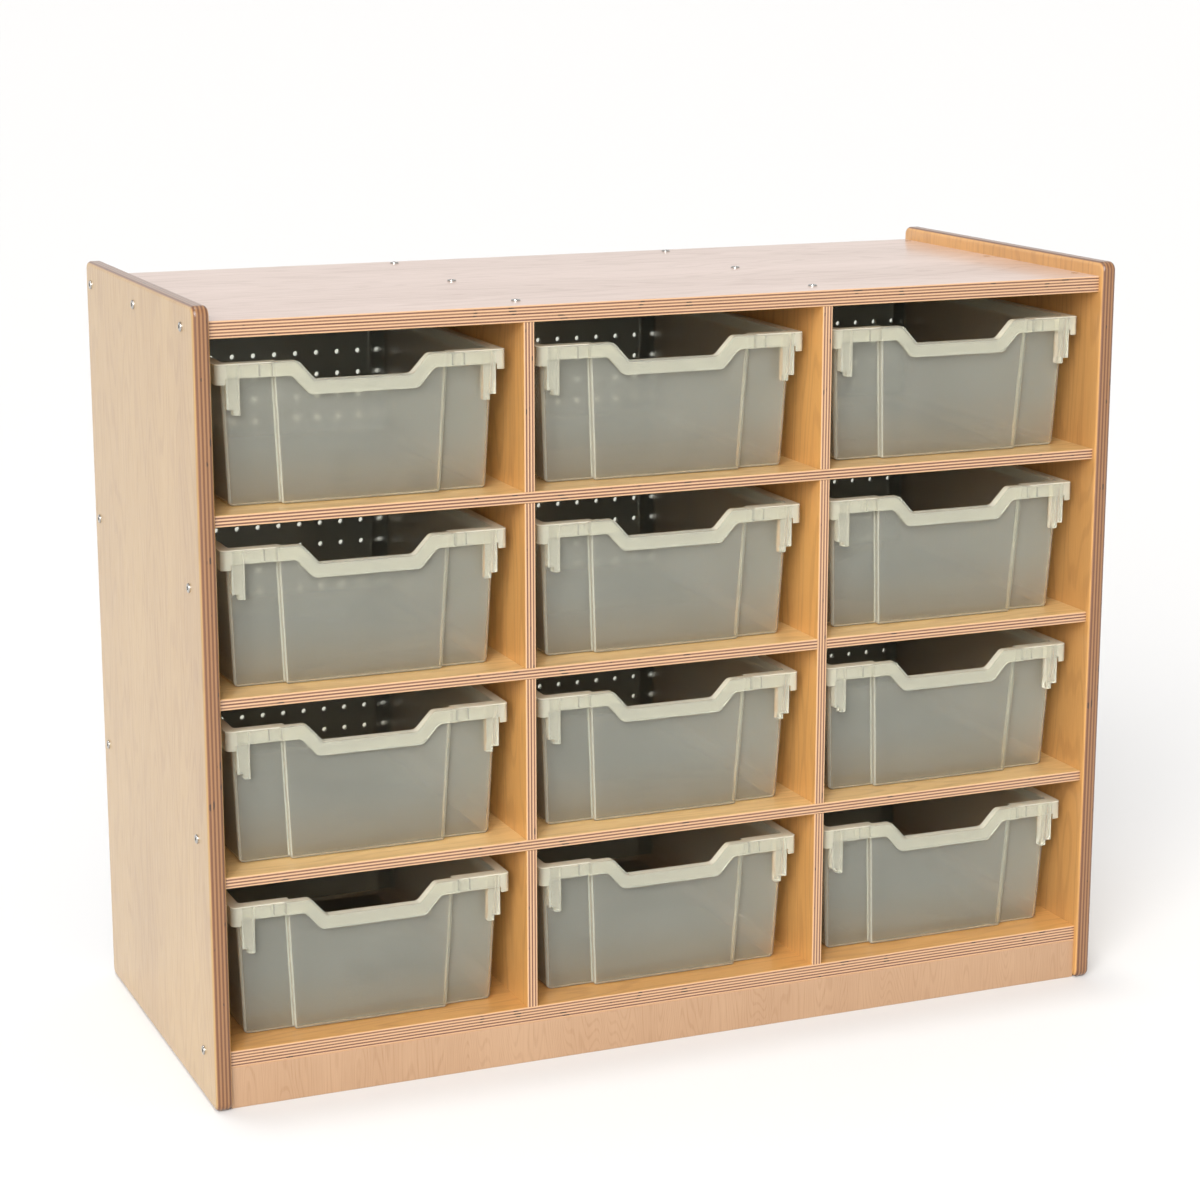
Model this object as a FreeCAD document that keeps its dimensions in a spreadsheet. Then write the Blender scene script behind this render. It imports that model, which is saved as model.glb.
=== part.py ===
import FreeCAD, Part
import math
import os

import Sketcher

# Plywood tray cabinet for a classroom: three columns of four moulded trays that slide on fixed shelves.
# Millimetres, +Z up, the front faces -Y, +X is the right hand side seen from the front.
# The origin lies on the floor under the middle of the cabinet.
# Everything is sized round the tray: bays from the tray and its gaps, and the cabinet from the bays.

COLUMNS = ("left", "middle", "right")
ROWS = ("row1", "row2", "row3", "row4")
SHELVES = ("upper_shelf", "middle_shelf", "lower_shelf")
DIVIDERS = ("left_divider", "right_divider")
REVERSED_LAP = ("middle_shelf", "right_divider")
TOLERANCE = 1e-4

# Driving dimensions: alias, value, what it is
SIZES = [
    ("tray_width", 312, "tray over its rim, side to side"),
    ("tray_depth", 427, "tray over its rim, front to back"),
    ("tray_height", 150, "tray from its floor to the top of the rim"),
    ("tray_side_gap", 11.8, "air between a tray's rim and the upright beside it"),
    ("finger_gap", 29, "air between a tray's rim and the board above it"),
    ("tray_recess", 19, "rim behind the front edge of the shelf"),
    ("tray_back_gap", 1, "rim to the back board"),
    ("side_thickness", 18, "side panels"),
    ("panel_thickness", 18, "top, bottom, toe kick and rear plinth"),
    ("shelf_thickness", 12, "shelves"),
    ("divider_thickness", 12, "dividers"),
    ("toe_height", 46, "floor to the underside of the bottom panel"),
    ("top_recess", 16, "sides standing above the top panel"),
    ("front_setback", 8, "boards behind the front edge of the sides"),
    ("side_corner_radius", 10, "corners of the side panels, seen from the side"),
    ("side_edge_radius", 5, "round-over along the edges of the side panels"),
    ("board_edge_radius", 1, "eased front edges of the other boards"),
    ("housing_depth", 4, "how far the shelves are let into the sides"),
    ("housing_end_gap", 0.2, "end of a shelf to the bottom of its housing"),
    ("joint_gap", 0.1, "air on each face of a housing, lap or rebate"),
    ("back_thickness", 5, "pegboard back"),
    ("back_inset", 4, "pegboard in front of the back edge of the sides"),
    ("rebate_width", 9, "lap of the pegboard on the sides, top and bottom"),
    ("peg_pitch", 25.4, "pegboard holes, centre to centre"),
    ("peg_hole", 6, "pegboard holes, diameter"),
    ("peg_margin", 20, "edge of the pegboard to its first holes, at least"),
    ("head_diameter", 10, "heads of the bolts and screws that show"),
    ("head_height", 1.8, "heads of the bolts and screws that show"),
    ("head_crown", 1.2, "rounding of those heads"),
    ("socket_width", 4, "hexagon socket of the bolts and link screws, across its flats"),
    ("cross_length", 5, "cross slot of the screws, tip to tip"),
    ("cross_width", 1, "cross slot of the screws"),
    ("drive_depth", 1.2, "socket or slot in a head"),
    ("bolt_diameter", 6, "connector bolts and link screws"),
    ("bolt_engagement", 13, "connector bolt past the inner face of the side"),
    ("screw_diameter", 4, "screws into the dividers"),
    ("screw_engagement", 30, "screw inside a divider"),
    ("hole_gap", 0.1, "air round a shank"),
    ("front_fixing_inset", 46, "front fixings behind the front edge of the sides"),
    ("back_fixing_inset", 24, "rear fixings in front of the back edge of the sides"),
    ("link_spacing", 268, "link screws below each other and below the top bolts"),
    ("link_length", 13, "link screw inside the side panel"),
    ("nut_diameter", 9, "barrel nuts"),
    ("nut_inset", 8, "barrel nut from the end of its panel"),
    ("nut_past_bolt", 5, "barrel nut beyond the bolt's axis"),
    ("back_screw_head", 8, "heads of the pegboard screws"),
    ("back_screw_height", 2, "heads of the pegboard screws"),
    ("back_screw_diameter", 3.5, "shanks of the pegboard screws"),
    ("back_screw_engagement", 16, "pegboard screw inside the board it holds"),
    ("tray_wall", 2, "moulded wall and floor of the tray"),
    ("tray_draft", 7, "each wall leans in by this much from rim to floor"),
    ("tray_corner_radius", 6, "upright corners of the tray"),
    ("tray_floor_radius", 5, "edge between the tray's walls and floor"),
    ("rim_thickness", 2.4, "flange round the mouth"),
    ("rim_skirt", 15, "turned-down skirt of the rim"),
    ("rim_edge_radius", 1.2, "outer top edge of the rim"),
    ("rim_step", 1.5, "middle of the front rim standing forward"),
    ("side_lip", 9, "rim outside the side walls"),
    ("back_lip", 9, "rim behind the back wall"),
    ("front_lip", 13.5, "rim in front of the front wall"),
    ("panel_step", 7, "middle of the front wall standing forward"),
    ("panel_width_top", 188, "that middle panel at the rim"),
    ("panel_width_low", 172, "that middle panel at the floor"),
    ("panel_edge_radius", 3, "upright edges of that middle panel"),
    ("band_allowance", 4, "forward middle of the rim wider than that panel, on each side"),
    ("dip_width_top", 140, "hand dip at the rim"),
    ("dip_width_low", 103, "hand dip at its floor"),
    ("dip_depth", 20.5, "hand dip below the rim"),
    ("dip_radius", 8, "corners of the hand dip"),
    ("lug_inset", 11, "end of the rim to the lugs under it"),
    ("lug_setback", 3.5, "lugs behind the front of the rim"),
    ("lug_depth", 9, "lugs, front to back"),
    ("outer_lug_width", 7, "short lug beside the end of the rim"),
    ("outer_lug_drop", 32, "short lug below the skirt"),
    ("inner_lug_width", 7, "long lug next to it"),
    ("inner_lug_drop", 38, "long lug below the skirt"),
    ("end_block_width", 10, "deeper skirt at the ends of the front rim"),
    ("end_block_depth", 18, "that skirt along the side of the rim"),
    ("end_block_drop", 6, "that skirt below the rest"),
    ("rib_thickness", 2, "stiffening ribs behind the front skirt"),
    ("rib_inset", 45, "end of the rim to the outer rib"),
]

# Worked-out dimensions: alias, formula
DERIVED = [
    ("cell_width", "sizes.tray_width + 2 * sizes.tray_side_gap"),
    ("bay_height", "sizes.tray_height + sizes.finger_gap"),
    ("column_pitch", "cell_width + sizes.divider_thickness"),
    ("row_pitch", "bay_height + sizes.shelf_thickness"),
    ("inner_half", f"({len(COLUMNS)} * column_pitch - sizes.divider_thickness) / 2"),
    ("outer_half", "inner_half + sizes.side_thickness"),
    ("depth", "sizes.front_setback + sizes.tray_recess + sizes.tray_depth + sizes.tray_back_gap"
              " + sizes.back_thickness + sizes.back_inset"),
    ("front", "-depth / 2"),
    ("back", "depth / 2"),
    ("board_front", "front + sizes.front_setback"),
    ("pegboard_rear", "back - sizes.back_inset"),
    ("board_back", "pegboard_rear - sizes.back_thickness"),
    ("lap_middle", "(board_front + board_back) / 2"),
    ("tray_front", "board_front + sizes.tray_recess"),
    ("floor_level", "sizes.toe_height + sizes.panel_thickness"),
    ("ceiling_level", f"floor_level + {len(ROWS)} * row_pitch - sizes.shelf_thickness"),
    ("top_level", "ceiling_level + sizes.panel_thickness"),
    ("height", "top_level + sizes.top_recess"),
    ("shelf_half", "inner_half + sizes.housing_depth - sizes.housing_end_gap"),
    ("pegboard_half", "inner_half + sizes.rebate_width - sizes.joint_gap"),
    ("pegboard_low", "floor_level - sizes.rebate_width + sizes.joint_gap"),
    ("pegboard_high", "ceiling_level + sizes.rebate_width - sizes.joint_gap"),
    ("front_fixing", "front + sizes.front_fixing_inset"),
    ("back_fixing", "back - sizes.back_fixing_inset"),
    ("middle_fixing", "(front_fixing + back_fixing) / 2"),
    ("rear_plinth_front", "pegboard_rear - sizes.panel_thickness"),
    ("low_back_fixing", "rear_plinth_front - sizes.head_diameter"),
    ("top_bolt_level", "top_level - sizes.panel_thickness / 2"),
    ("bottom_bolt_level", "floor_level - sizes.panel_thickness / 2"),
    ("bolt_length", "sizes.side_thickness + sizes.bolt_engagement"),
    ("screw_length", "sizes.panel_thickness + sizes.screw_engagement"),
    ("back_screw_length", "sizes.back_thickness + sizes.back_screw_engagement"),
    ("nut_length", "sizes.panel_thickness / 2 + sizes.nut_past_bolt"),
    ("tray_half", "sizes.tray_width / 2"),
    ("mouth_half", "tray_half - sizes.side_lip"),
    ("base_half", "mouth_half - sizes.tray_draft"),
    ("mouth_back", "sizes.tray_depth - sizes.back_lip"),
    ("base_back", "mouth_back - sizes.tray_draft"),
    ("base_front", "sizes.front_lip + sizes.tray_draft"),
    ("panel_front_top", "sizes.front_lip - sizes.panel_step"),
    ("panel_front_low", "base_front - sizes.panel_step"),
    ("skirt_level", "sizes.tray_height - sizes.rim_skirt"),
    ("end_block_level", "skirt_level - sizes.end_block_drop"),
    ("skirt_back", "sizes.rim_step + sizes.tray_wall"),
    ("dip_level", "sizes.tray_height - sizes.dip_depth"),
    ("dip_half_top", "sizes.dip_width_top / 2"),
    ("dip_half_low", "sizes.dip_width_low / 2"),
    ("dip_lean", "tan(atan(sizes.dip_depth / (dip_half_top - dip_half_low)) / 2)"),
    ("band_half", "sizes.panel_width_top / 2 + sizes.band_allowance"),
]

doc = FreeCAD.newDocument("tray_cabinet")


def fill_sheet(name, rows):
    """A sheet with one aliased cell for each named dimension."""
    sheet = doc.addObject("Spreadsheet::Sheet", name)
    for line, (alias, content, *note) in enumerate(rows, 1):
        sheet.set(f"A{line}", alias)
        sheet.set(f"B{line}", str(content))
        sheet.setAlias(f"B{line}", alias)
        if note:
            sheet.set(f"C{line}", note[0])
    doc.recompute()
    return sheet


sizes = fill_sheet("sizes", SIZES)
derived = fill_sheet("derived", [(alias, "=" + formula) for alias, formula in DERIVED])


def number(expression):
    """The value of an expression on the two sheets."""
    return float(derived.evalExpression(str(expression)))


def locate(thing, x, y, z):
    """Binds an object's position to three expressions."""
    for axis, expression in zip("xyz", (x, y, z)):
        thing.setExpression(f"Placement.Base.{axis}", str(expression))


def block(name, low, high):
    """A rectangular block between two corners given as expressions."""
    box = doc.addObject("Part::Box", name)
    for side, first, last in zip(("Length", "Width", "Height"), low, high):
        box.setExpression(side, f"({last}) - ({first})")
    locate(box, *low)
    return box


def rod(name, diameter, length, start, direction):
    """A round bar from a start point along a direction."""
    bar = doc.addObject("Part::Cylinder", name)
    bar.setExpression("Radius", f"({diameter}) / 2")
    bar.setExpression("Height", str(length))
    bar.Placement.Rotation = FreeCAD.Rotation(FreeCAD.Vector(0, 0, 1), FreeCAD.Vector(*direction))
    locate(bar, *start)
    return bar


def joined(name, pieces):
    """One solid from several that overlap, or the piece itself where there is only one."""
    if len(pieces) == 1:
        return pieces[0]
    union = doc.addObject("Part::MultiFuse", name)
    union.Shapes = pieces
    return union


def cut(name, base, tools):
    """The base with every tool taken away."""
    result = doc.addObject("Part::Cut", name)
    result.Base = base
    result.Tool = joined(f"{name}_tools", tools)
    return result


def rounded(name, base, radius, wanted):
    """The base with the wanted edges rounded."""
    doc.recompute()
    result = doc.addObject("Part::Fillet", name)
    result.Base = base
    size = number(radius)
    result.Edges = [(k, size, size) for k, edge in enumerate(base.Shape.Edges, 1) if wanted(edge)]
    doc.recompute()
    return result


def copies(label, master, places):
    """A group of copies of one solid: each place is a position and the direction its +Z turns to."""
    group = []
    for k, (position, direction) in enumerate(places, 1):
        copy = doc.addObject("Part::Compound", f"{label}_{k}")
        copy.Links = [master]
        copy.Placement.Rotation = FreeCAD.Rotation(FreeCAD.Vector(0, 0, 1), FreeCAD.Vector(*direction))
        locate(copy, *position)
        group.append(copy)
    whole = doc.addObject("Part::Compound", label)
    whole.Links = group
    return whole


def polygon_sketch(body, name, role, points):
    """A closed outline on one of the body's origin planes, every corner bound to two expressions."""
    sketch = body.newObject("Sketcher::SketchObject", name)
    plane = next(feature for feature in body.Origin.OriginFeatures if feature.Role == role)
    sketch.AttachmentSupport = (plane, [""])
    sketch.MapMode = "FlatFace"
    corners = [FreeCAD.Vector(number(u), number(v), 0) for u, v in points]
    count = len(corners)
    for k in range(count):
        sketch.addGeometry(Part.LineSegment(corners[k], corners[(k + 1) % count]), False)
    for k in range(count):
        sketch.addConstraint(Sketcher.Constraint("Coincident", k, 2, (k + 1) % count, 1))
    for k, expressions in enumerate(points):
        for kind, axis, expression in zip(("DistanceX", "DistanceY"), (-2, -1), expressions):
            distance = number(expression)
            if abs(distance) < TOLERANCE:
                sketch.addConstraint(Sketcher.Constraint("PointOnObject", k, 1, axis))
            else:
                index = sketch.addConstraint(Sketcher.Constraint(kind, -1, 1, k, 1, distance))
                sketch.setExpression(f"Constraints[{index}]", str(expression))
    return sketch


def prism(name, role, points, length, reverse=False):
    """A body padded from a closed outline."""
    body = doc.addObject("PartDesign::Body", name)
    sketch = polygon_sketch(body, f"{name}_outline", role, points)
    pad = body.newObject("PartDesign::Pad", f"{name}_pad")
    pad.Profile = sketch
    pad.setExpression("Length", str(length))
    pad.Reversed = reverse
    doc.recompute()
    return body


def soften(body, name, radius, wanted):
    """Rounds the wanted edges of a body's last feature."""
    base = body.Tip
    fillet = body.newObject("PartDesign::Fillet", name)
    fillet.Base = (base, [f"Edge{k}" for k, edge in enumerate(base.Shape.Edges, 1) if wanted(edge)])
    fillet.setExpression("Radius", radius)
    doc.recompute()


def runs_along(edge, axis):
    """Whether an edge is straight and parallel to one axis."""
    if not isinstance(edge.Curve, Part.Line):
        return False
    return abs(abs(edge.Curve.Direction.dot(axis)) - 1) < TOLERANCE


X_AXIS, Y_AXIS, Z_AXIS = FreeCAD.Vector(1, 0, 0), FreeCAD.Vector(0, 1, 0), FreeCAD.Vector(0, 0, 1)
LEFT, RIGHT = (-1, 0, 0), (1, 0, 0)
FORWARD, BACKWARD = (0, -1, 0), (0, 1, 0)
DOWN, UP = (0, 0, -1), (0, 0, 1)

# Where things repeat
shelf_levels = {shelf: f"derived.floor_level + {len(SHELVES) - k} * derived.row_pitch - sizes.shelf_thickness"
                for k, shelf in enumerate(SHELVES)}
divider_middles = {divider: f"{k - (len(DIVIDERS) - 1) / 2} * derived.column_pitch"
                   for k, divider in enumerate(DIVIDERS)}
column_middles = {column: f"{k - (len(COLUMNS) - 1) / 2} * derived.column_pitch"
                  for k, column in enumerate(COLUMNS)}
bay_floors = {row: f"derived.floor_level + {len(ROWS) - 1 - k} * derived.row_pitch"
              for k, row in enumerate(ROWS)}
fixing_depths = ("derived.front_fixing", "derived.middle_fixing", "derived.back_fixing")
low_fixing_depths = ("derived.front_fixing", "derived.middle_fixing", "derived.low_back_fixing")
link_places = [(y, f"derived.top_bolt_level - {step} * sizes.link_spacing")
               for y in ("derived.front_fixing", "derived.back_fixing") for step in (1, 2)]
bolt_places = [(y, "derived.top_bolt_level") for y in fixing_depths]
bolt_places.append(("derived.front_fixing", "derived.bottom_bolt_level"))
back_screw_levels = [f"{level} + sizes.shelf_thickness / 2" for level in shelf_levels.values()]
back_screw_levels.append("derived.ceiling_level + sizes.rebate_width / 2")
back_screw_levels.append("derived.floor_level - sizes.rebate_width / 2")

bolt_hole = "sizes.bolt_diameter + 2 * sizes.hole_gap"
screw_hole = "sizes.screw_diameter + 2 * sizes.hole_gap"
back_screw_hole = "sizes.back_screw_diameter + 2 * sizes.hole_gap"
nut_hole = "sizes.nut_diameter + 2 * sizes.hole_gap"


def back_screw_holes(name, level):
    """Pilot holes for the pegboard screws in the back edge of one board."""
    return [rod(f"{name}_pilot_{column}", back_screw_hole, "sizes.back_screw_engagement + sizes.hole_gap",
                (middle, "derived.board_back", level), FORWARD)
            for column, middle in column_middles.items()]


# Side panels: rounded all round, with housings for the shelves, a rebate for the back and bolt holes
def side_panel(hand):
    inner = "derived.inner_half" if hand > 0 else "-derived.inner_half"
    outer = "derived.outer_half" if hand > 0 else "-derived.outer_half"
    name = "right_side_panel" if hand > 0 else "left_side_panel"
    outline = [("derived.front", "0"), ("derived.back", "0"),
               ("derived.back", "derived.height"), ("derived.front", "derived.height")]
    board = prism(f"{name}_board", "YZ_Plane", outline, "sizes.side_thickness")
    board.setExpression("Placement.Base.x", inner if hand > 0 else outer)
    soften(board, f"{name}_corners", "sizes.side_corner_radius", lambda edge: runs_along(edge, X_AXIS))
    soften(board, f"{name}_edges", "sizes.side_edge_radius",
           lambda edge: edge.BoundBox.XLength < TOLERANCE)
    tools = []

    def pocket(label, reach, front, back, low, high):
        """A recess in the inner face."""
        deep = f"{inner} + {hand} * ({reach})"
        mouth = f"{inner} - {hand} * sizes.side_thickness"
        first, last = (mouth, deep) if hand > 0 else (deep, mouth)
        tools.append(block(f"{name}_{label}", (first, front, low), (last, back, high)))

    for shelf, level in shelf_levels.items():
        pocket(f"{shelf}_housing", "sizes.housing_depth", "derived.board_front - sizes.joint_gap",
               "derived.board_back + sizes.joint_gap", f"{level} - sizes.joint_gap",
               f"{level} + sizes.shelf_thickness + sizes.joint_gap")
    pocket("rebate", "sizes.rebate_width", "derived.board_back", "derived.back + sizes.back_inset",
           "derived.pegboard_low - sizes.joint_gap", "derived.pegboard_high + sizes.joint_gap")
    for k, (y, z) in enumerate(bolt_places, 1):
        tools.append(rod(f"{name}_bolt_hole_{k}", bolt_hole, "derived.bolt_length",
                         (f"{outer} + {hand} * sizes.head_height", y, z), LEFT if hand > 0 else RIGHT))
    for k, (y, z) in enumerate(link_places, 1):
        tools.append(rod(f"{name}_link_hole_{k}", bolt_hole,
                         "sizes.link_length + sizes.hole_gap + sizes.head_height",
                         (f"{outer} + {hand} * sizes.head_height", y, z), LEFT if hand > 0 else RIGHT))
    return cut(name, board, tools)


# Boards between the sides: eased front edges, then their cuts
def board(name, low, high):
    blank = block(f"{name}_blank", low, high)
    doc.recompute()
    y = number(low[1])
    longest = max(edge.Length for edge in blank.Shape.Edges)
    return rounded(f"{name}_eased", blank, "sizes.board_edge_radius",
                   lambda edge: abs(edge.CenterOfMass.y - y) < TOLERANCE
                   and abs(edge.Length - longest) < TOLERANCE)


def end_panel(name, low, high, nut_face, rebate_low, rebate_high, bolt_level, bolt_rows, screw_rows):
    """The top or bottom panel, with its rebate, bolt and nut holes, and screw holes over the dividers."""
    panel = board(name, ("-derived.inner_half", "derived.board_front", low),
                  ("derived.inner_half", "derived.pegboard_rear", high))
    tools = [block(f"{name}_rebate", ("-derived.outer_half", "derived.board_back", rebate_low),
                   ("derived.outer_half", "derived.back", rebate_high))]
    inward = DOWN if nut_face == high else UP
    for hand, side in ((-1, "left"), (1, "right")):
        for k, y in enumerate(bolt_rows, 1):
            end = f"{hand} * derived.inner_half"
            bore = rod(f"{name}_{side}_bore_{k}", bolt_hole, "sizes.bolt_engagement + sizes.side_thickness",
                       (f"{end} + {hand} * (sizes.side_thickness - sizes.hole_gap)", y, bolt_level),
                       LEFT if hand > 0 else RIGHT)
            nut = rod(f"{name}_{side}_nut_hole_{k}", nut_hole, "derived.nut_length + sizes.hole_gap",
                      (f"{end} - {hand} * sizes.nut_inset", y, nut_face), inward)
            tools += [bore, nut]
    for divider, middle in divider_middles.items():
        for k, y in enumerate(screw_rows, 1):
            tools.append(rod(f"{name}_{divider}_hole_{k}", screw_hole, "sizes.panel_thickness",
                             (middle, y, low), UP))
    level = f"({rebate_low} + {rebate_high}) / 2"
    tools += back_screw_holes(name, level)
    return cut(name, panel, tools)


def shelf_board(name, level):
    """A shelf, slotted half way for each divider."""
    blank = board(name, ("-derived.shelf_half", "derived.board_front", level),
                  ("derived.shelf_half", "derived.board_back", f"{level} + sizes.shelf_thickness"))
    tools = []
    for divider, middle in divider_middles.items():
        reach = ("derived.front", "derived.lap_middle + sizes.joint_gap")
        if (name, divider) != REVERSED_LAP:
            reach = ("derived.lap_middle - sizes.joint_gap", "derived.back")
        half_slot = "(sizes.divider_thickness / 2 + sizes.joint_gap)"
        tools.append(block(f"{name}_{divider}_slot",
                           (f"{middle} - {half_slot}", reach[0], f"{level} - sizes.shelf_thickness"),
                           (f"{middle} + {half_slot}", reach[1], f"{level} + 2 * sizes.shelf_thickness")))
    tools += back_screw_holes(name, f"{level} + sizes.shelf_thickness / 2")
    return cut(name, blank, tools)


def divider_board(name, middle):
    """A divider, slotted half way for each shelf, with pilot holes at both ends."""
    half = "sizes.divider_thickness / 2"
    blank = board(name, (f"{middle} - {half}", "derived.board_front", "derived.floor_level"),
                  (f"{middle} + {half}", "derived.board_back", "derived.ceiling_level"))
    tools = []
    for shelf, level in shelf_levels.items():
        reach = ("derived.lap_middle - sizes.joint_gap", "derived.back")
        if (shelf, name) != REVERSED_LAP:
            reach = ("derived.front", "derived.lap_middle + sizes.joint_gap")
        tools.append(block(f"{name}_{shelf}_slot",
                           (f"{middle} - sizes.divider_thickness", reach[0], f"{level} - sizes.joint_gap"),
                           (f"{middle} + sizes.divider_thickness", reach[1],
                            f"{level} + sizes.shelf_thickness + sizes.joint_gap")))
    for end, direction, rows in (("floor", UP, low_fixing_depths), ("ceiling", DOWN, fixing_depths)):
        for k, y in enumerate(rows, 1):
            tools.append(rod(f"{name}_{end}_pilot_{k}", screw_hole, "sizes.screw_engagement + sizes.hole_gap",
                             (middle, y, f"derived.{end}_level"), direction))
    return cut(name, blank, tools)


def plinth(name, front, back):
    """A board on edge under the bottom panel."""
    eased = board(name, ("-derived.inner_half", front, "0"), ("derived.inner_half", back, "sizes.toe_height"))
    eased.Label = name
    return eased


def pegboard():
    """The perforated back: rows of holes on a centred grid, kept clear of the screws that hold it."""
    half, low, high = (number(f"derived.pegboard_{end}") for end in ("half", "low", "high"))
    pitch, radius = number("sizes.peg_pitch"), number("sizes.peg_hole") / 2
    margin, thickness = number("sizes.peg_margin"), number("sizes.back_thickness")
    keep_off = number("sizes.back_screw_head") / 2 + 2 * radius
    screws = [(number(x), number(z)) for x in column_middles.values() for z in back_screw_levels]
    centre = (low + high) / 2
    across = int((half - margin) / pitch + 0.5)
    upward = int(((high - low) / 2 - margin) / pitch + 0.5)
    columns = [(i + 0.5) * pitch for i in range(-across, across)]
    rows = [centre + (j + 0.5) * pitch for j in range(-upward, upward)]
    limits = [low] + [z + pitch / 2 for z in rows[:-1]] + [high]

    def at(x, z):
        return FreeCAD.Vector(x, number("derived.board_back"), z)

    def hole(x, z, size):
        return Part.Wire(Part.makeCircle(size, at(x, z), Y_AXIS))

    strips = []
    for z, bottom, top in zip(rows, limits, limits[1:]):
        corners = [at(-half, bottom), at(half, bottom), at(half, top), at(-half, top), at(-half, bottom)]
        free = [x for x in columns if all(math.hypot(x - sx, z - sz) > keep_off for sx, sz in screws)]
        face = Part.Face([Part.makePolygon(corners)] + [hole(x, z, radius) for x in free])
        strips.append(face.extrude(Y_AXIS * thickness))
    perforated = strips[0].multiFuse(strips[1:])
    drills = [Part.makeCylinder(number(back_screw_hole) / 2, thickness, at(x, z), Y_AXIS) for x, z in screws]
    panel = doc.addObject("Part::Feature", "pegboard_back")
    panel.Shape = perforated.cut(drills)
    return panel


# Fasteners: a crowned head on a plain shank, the underside of the head at the origin
def fastener(name, head, height, crown, shank, length, drive):
    top = rod(f"{name}_head_blank", head, height, ("0", "0", "0"), UP)
    level = number(height)
    head_solid = rounded(f"{name}_head", top, crown, at_height(level))
    stem = rod(f"{name}_shank", shank, f"{length} + {height} / 2", ("0", "0", f"-({length})"), UP)
    return cut(name, joined(f"{name}_blank", [head_solid, stem]), drive(name, height))


def hexagon_socket(name, height):
    """The socket for a hexagon key, sunk from the top of the head."""
    socket = doc.addObject("Part::Prism", f"{name}_socket")
    socket.Polygon = 6
    socket.setExpression("Circumradius", "sizes.socket_width / sqrt(3)")
    socket.setExpression("Height", "2 * sizes.drive_depth")
    locate(socket, "0", "0", f"{height} - sizes.drive_depth")
    return [socket]


def cross_slot(name, height):
    """Two crossed slots, sunk from the top of the head."""
    half, narrow = "sizes.cross_length / 2", "sizes.cross_width / 2"
    low, high = f"{height} - sizes.drive_depth", f"{height} + sizes.drive_depth"
    return [block(f"{name}_slot_{label}", (f"-({x})", f"-({y})", low), (x, y, high))
            for label, x, y in (("along", half, narrow), ("across", narrow, half))]


def barrel_nut():
    """A cross nut, its flush end at the origin, threaded across for the bolt."""
    barrel = rod("barrel_nut_blank", "sizes.nut_diameter", "derived.nut_length", ("0", "0", "0"), DOWN)
    thread = rod("barrel_nut_thread", bolt_hole, "2 * sizes.nut_diameter",
                 ("-sizes.nut_diameter", "0", "-sizes.panel_thickness / 2"), RIGHT)
    return cut("barrel_nut", barrel, [thread])


# The tray, in its own frame: middle of its width at x 0, front of the rim at y 0, floor at z 0
def wedge(name, low, high, base, mouth):
    """A block that widens upwards: base and mouth are each half width, front and back."""
    shape = doc.addObject("Part::Wedge", name)
    shape.setExpression("Ymin", low)
    shape.setExpression("Ymax", high)
    for prefix, (half, front, back) in (("", base), ("2", mouth)):
        for side, expression in (("min", f"-({half})"), ("max", half)):
            shape.setExpression(f"X{prefix}{side}", expression)
        for side, expression in (("min", f"-({back})"), ("max", f"-({front})")):
            shape.setExpression(f"Z{prefix}{side}", expression)
    shape.Placement.Rotation = FreeCAD.Rotation(X_AXIS, 90)
    return shape


def steep(edge):
    """Whether an edge climbs, as the upright corners do."""
    return edge.BoundBox.ZLength > max(edge.BoundBox.XLength, edge.BoundBox.YLength)


def at_height(level):
    return lambda edge: edge.BoundBox.ZLength < TOLERANCE and abs(edge.CenterOfMass.z - level) < TOLERANCE


def tub(name, wall, low):
    """The tray's tapering block, smaller by a wall, with the forward panel in its front."""
    floor_radius = f"sizes.tray_floor_radius - ({wall})"
    body = wedge(f"{name}_body", low, "sizes.tray_height",
                 (f"derived.base_half - ({wall})", f"derived.base_front + ({wall})",
                  f"derived.base_back - ({wall})"),
                 (f"derived.mouth_half - ({wall})", f"sizes.front_lip + ({wall})",
                  f"derived.mouth_back - ({wall})"))
    upright = rounded(f"{name}_upright", body, f"sizes.tray_corner_radius - ({wall})", steep)
    dished = rounded(f"{name}_dished", upright, floor_radius, at_height(number(low)))
    reach = "(sizes.tray_floor_radius + sizes.tray_wall)"
    panel = wedge(f"{name}_panel", low, "sizes.tray_height",
                  (f"sizes.panel_width_low / 2 - ({wall})", f"derived.panel_front_low + ({wall})",
                   f"derived.base_front + {reach}"),
                  (f"sizes.panel_width_top / 2 - ({wall})", f"derived.panel_front_top + ({wall})",
                   f"sizes.front_lip + {reach}"))
    front, level = number(f"derived.panel_front_low + ({wall})"), number(low)
    foot = rounded(f"{name}_panel_foot", panel, floor_radius,
                   lambda edge: at_height(level)(edge) and abs(edge.CenterOfMass.y - front) < TOLERANCE)
    sides = rounded(f"{name}_panel_sides", foot, f"sizes.panel_edge_radius - ({wall})",
                    lambda edge: steep(edge) and edge.BoundBox.YMax < number("derived.base_front"))
    return joined(name, [dished, sides])


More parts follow.
